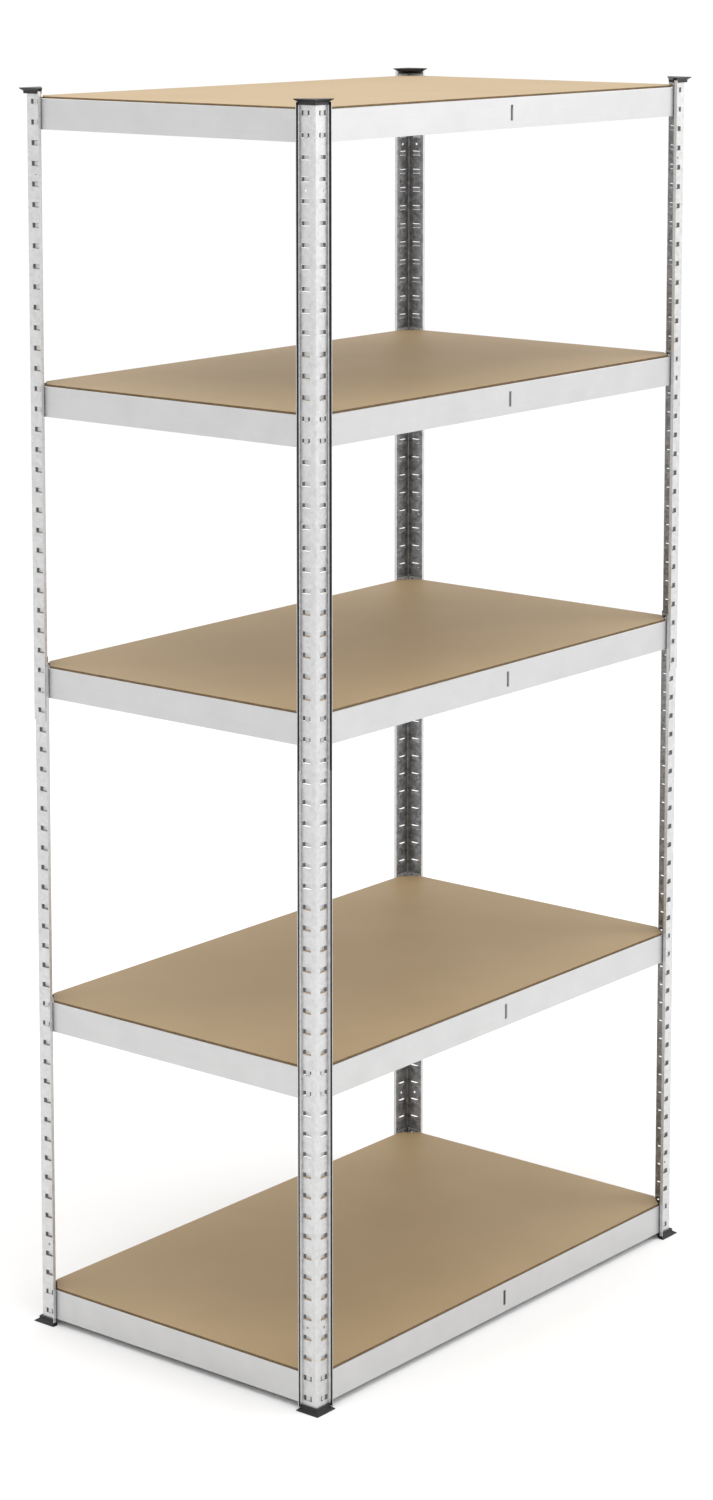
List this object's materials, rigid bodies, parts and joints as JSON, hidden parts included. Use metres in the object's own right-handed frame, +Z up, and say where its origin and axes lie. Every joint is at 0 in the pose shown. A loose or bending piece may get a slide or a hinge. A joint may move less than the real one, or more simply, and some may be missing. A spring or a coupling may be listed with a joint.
{
  "type": "boltless shelving rack",
  "caption": "Free-standing boltless shelving rack: spliced, pocketed steel angle posts, hook-in beams that carry loose fibreboard shelves, and black plastic feet and caps.",
  "frame": {"origin": "centre of the footprint, on the floor", "axes": "+X along the rack's width to the right seen from the front, +Y from the front to the back, +Z up"},
  "size_m": [0.976, 0.596, 1.994],
  "materials": {
    "galvanised_post": "galvanised sheet with a mottled spangle",
    "galvanised_beam": "galvanised sheet, smooth satin",
    "fibreboard": "bare tan fibreboard, matt",
    "black_plastic": "moulded black plastic, satin"
  },
  "bodies": {
    "rack_frame": {"post_lower_front_left": "galvanised_post", "post_lower_front_right": "galvanised_post", "post_lower_back_right": "galvanised_post", "post_lower_back_left": "galvanised_post", "post_upper_front_left": "galvanised_post", "post_upper_front_right": "galvanised_post", "post_upper_back_right": "galvanised_post", "post_upper_back_left": "galvanised_post", "foot_front_left": "black_plastic", "foot_front_right": "black_plastic", "foot_back_right": "black_plastic", "foot_back_left": "black_plastic", "cap_front_left": "black_plastic", "cap_front_right": "black_plastic", "cap_back_right": "black_plastic", "cap_back_left": "black_plastic", "beam_front_1": "galvanised_beam", "beam_front_2": "galvanised_beam", "beam_front_3": "galvanised_beam", "beam_front_4": "galvanised_beam", "beam_front_5": "galvanised_beam", "beam_back_1": "galvanised_beam", "beam_back_2": "galvanised_beam", "beam_back_3": "galvanised_beam", "beam_back_4": "galvanised_beam", "beam_back_5": "galvanised_beam", "beam_left_1": "galvanised_beam", "beam_left_2": "galvanised_beam", "beam_left_3": "galvanised_beam", "beam_left_4": "galvanised_beam", "beam_left_5": "galvanised_beam", "beam_right_1": "galvanised_beam", "beam_right_2": "galvanised_beam", "beam_right_3": "galvanised_beam", "beam_right_4": "galvanised_beam", "beam_right_5": "galvanised_beam", "support_bar_1": "galvanised_beam", "support_bar_2": "galvanised_beam", "support_bar_3": "galvanised_beam", "support_bar_4": "galvanised_beam", "support_bar_5": "galvanised_beam"},
    "shelf_1": {"board_1": "fibreboard"},
    "shelf_2": {"board_2": "fibreboard"},
    "shelf_3": {"board_3": "fibreboard"},
    "shelf_4": {"board_4": "fibreboard"},
    "shelf_5": {"board_5": "fibreboard"}
  },
  "joints": [
    {"name": "board_1_lift", "type": "slide", "parent": "rack_frame", "child": "shelf_1", "axis": [0, 0, 1], "range_m": [0, 0.12]},
    {"name": "board_2_lift", "type": "slide", "parent": "rack_frame", "child": "shelf_2", "axis": [0, 0, 1], "range_m": [0, 0.12]},
    {"name": "board_3_lift", "type": "slide", "parent": "rack_frame", "child": "shelf_3", "axis": [0, 0, 1], "range_m": [0, 0.12]},
    {"name": "board_4_lift", "type": "slide", "parent": "rack_frame", "child": "shelf_4", "axis": [0, 0, 1], "range_m": [0, 0.12]},
    {"name": "board_5_lift", "type": "slide", "parent": "rack_frame", "child": "shelf_5", "axis": [0, 0, 1], "range_m": [0, 0.12]}
  ]
}
